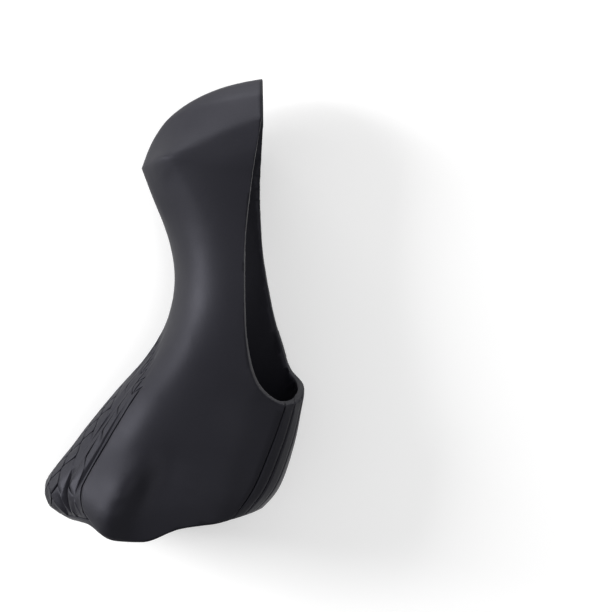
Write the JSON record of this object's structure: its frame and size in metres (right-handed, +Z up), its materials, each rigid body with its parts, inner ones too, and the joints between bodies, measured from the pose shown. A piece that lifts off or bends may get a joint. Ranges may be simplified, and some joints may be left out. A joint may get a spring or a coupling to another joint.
{
  "type": "brake lever hood",
  "caption": "Moulded rubber hood that slips over a road bicycle's brake lever body, with a pommel-like horn, a scaled grip on the palm side and an open lever slot.",
  "frame": {"origin": "centre of the bounding box at the ground, with the hood lying on its scaled outer side", "axes": "+Y from the bar-end mouth to the horn, +X from the palm side to the lever opening, +Z up out of the smooth inner side"},
  "size_m": [0.0684, 0.1192, 0.039],
  "materials": {
    "rubber": "matte, soft-touch moulded rubber"
  },
  "bodies": {
    "root": {"hood": "rubber"}
  },
  "joints": []
}
